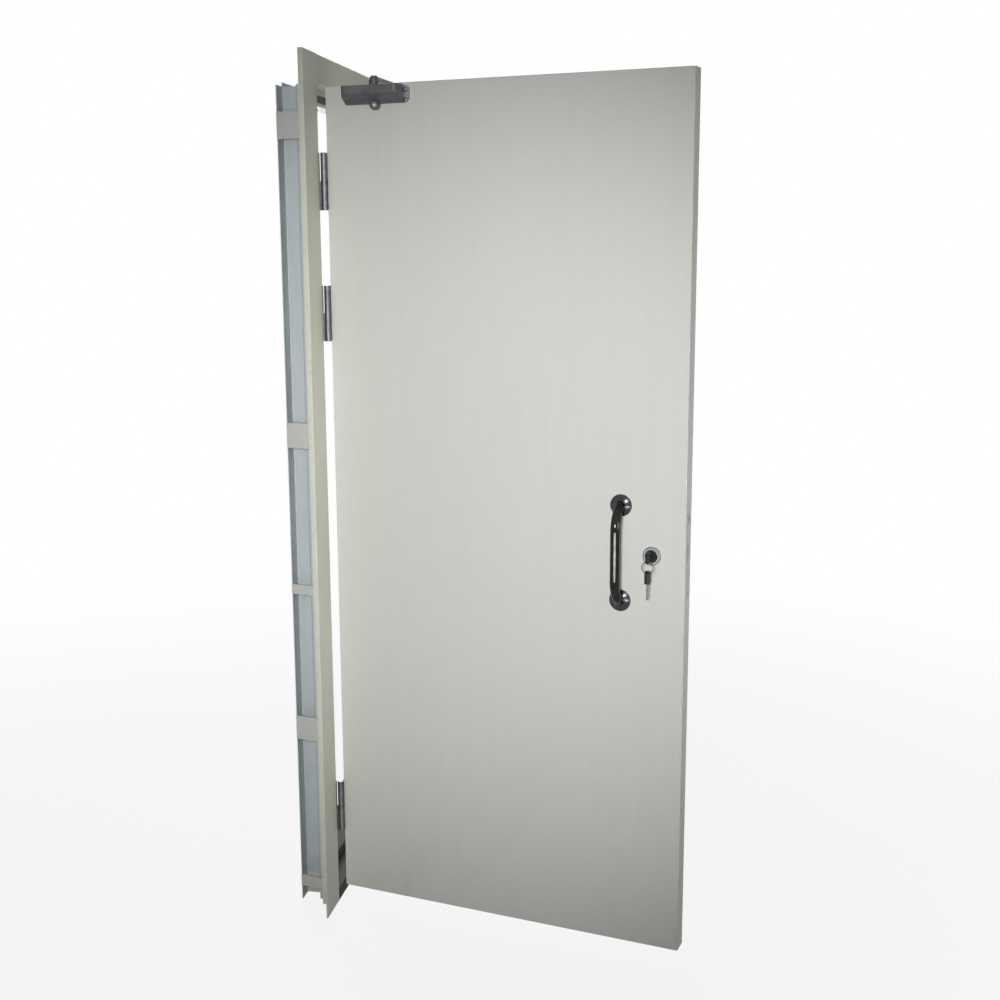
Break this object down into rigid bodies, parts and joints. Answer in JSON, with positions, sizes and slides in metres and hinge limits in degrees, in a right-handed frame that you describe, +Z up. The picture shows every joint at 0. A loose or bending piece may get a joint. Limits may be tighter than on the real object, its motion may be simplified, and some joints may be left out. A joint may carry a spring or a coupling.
{
  "type": "steel fire door with frame",
  "caption": "Single-leaf steel fire door standing open in its folded frame, with lift-off hinges, overhead closer, bow handles, and a cylinder lock with key.",
  "frame": {"origin": "middle of the threshold's flat underside, in the middle of the doorway and of the frame's depth", "axes": "+Z up, +X from the hinge side to the lock side, +Y from the pull side to the push side"},
  "size_m": [1.2463, 1.0123, 2.165],
  "materials": {
    "cream_paint": "warm off-white satin powder coat with a fine orange peel",
    "sill_dark": "dark grey painted sill, scuffed",
    "seal": "matt black seal strip",
    "hinge_steel": "bright bare steel",
    "core_board": "hidden mineral fire board",
    "handle_chrome": "polished chrome",
    "satin_chrome": "satin chrome",
    "lock_black": "black oxide",
    "closer_silver": "silver grey lacquered aluminium",
    "closer_plate_steel": "bright zinc plated steel",
    "closer_dark": "dark grey lacquered steel",
    "key_plastic": "black moulded plastic",
    "key_steel": "nickel plated"
  },
  "bodies": {
    "frame": {"hinge_jamb": "cream_paint", "lock_jamb": "cream_paint", "frame_head": "cream_paint", "threshold": "sill_dark", "hinge_jamb_straps": "cream_paint", "lock_jamb_straps": "cream_paint", "head_straps": "cream_paint", "hinge_jamb_seal": "seal", "lock_jamb_seal": "seal", "head_seal": "seal", "strike_plate": "hinge_steel", "lower_hinge_frame_half": "hinge_steel", "second_hinge_frame_half": "hinge_steel", "upper_hinge_frame_half": "hinge_steel", "closer_shoe": "closer_dark"},
    "leaf": {"leaf_core": "core_board", "leaf_pull_pan": "cream_paint", "leaf_push_pan": "cream_paint", "lower_hinge_leaf_half": "hinge_steel", "second_hinge_leaf_half": "hinge_steel", "upper_hinge_leaf_half": "hinge_steel", "lock_forend": "hinge_steel", "lock_bolt": "hinge_steel", "pull_handle": "handle_chrome", "pull_handle_roses": "handle_chrome", "push_handle": "handle_chrome", "push_handle_roses": "handle_chrome", "pull_lock_rosette": "satin_chrome", "pull_lock_cylinder": "lock_black", "push_lock_rosette": "satin_chrome", "push_lock_cylinder": "lock_black", "push_lock_plug": "lock_black", "closer_plate": "closer_plate_steel", "closer_body": "closer_silver", "closer_cap": "closer_silver"},
    "main_arm": {"closer_main_arm": "closer_dark"},
    "forearm": {"closer_forearm": "closer_dark"},
    "key": {"pull_lock_plug": "lock_black", "key_bow": "key_plastic", "key_blade": "key_steel"},
    "ring": {"key_ring": "key_steel", "spare_key_bow": "key_plastic", "spare_key_blade": "key_steel"}
  },
  "joints": [
    {"name": "leaf_hinge", "type": "hinge", "parent": "frame", "child": "leaf", "pos_m": [-0.4575, -0.061, 0.04], "axis": [0, 0, -1], "range_deg": [-103, 20]},
    {"name": "main_arm_pivot", "type": "hinge", "parent": "leaf", "child": "main_arm", "pos_m": [-0.51009, -0.20434, 2.095], "axis": [0, 0, -1], "range_deg": [-20, 103]},
    {"name": "forearm_pivot", "type": "hinge", "parent": "frame", "child": "forearm", "pos_m": [-0.0075, -0.096, 2.106], "axis": [0, 0, -1], "range_deg": [-103, 20]},
    {"name": "key_turn", "type": "hinge", "parent": "leaf", "child": "key", "pos_m": [-0.64207, -0.87381, 1.01], "axis": [-0.9744, 0.225, 0], "range_deg": [0, 90]},
    {"name": "ring_swing", "type": "hinge", "parent": "key", "child": "ring", "pos_m": [-0.66936, -0.86751, 1.0034], "axis": [0.225, 0.9744, 0], "range_deg": [-10, 60]}
  ],
  "couplings": [
    {"joint": "main_arm_pivot", "follows": "leaf_hinge", "ratio": -1},
    {"joint": "forearm_pivot", "follows": "leaf_hinge", "ratio": 1}
  ]
}
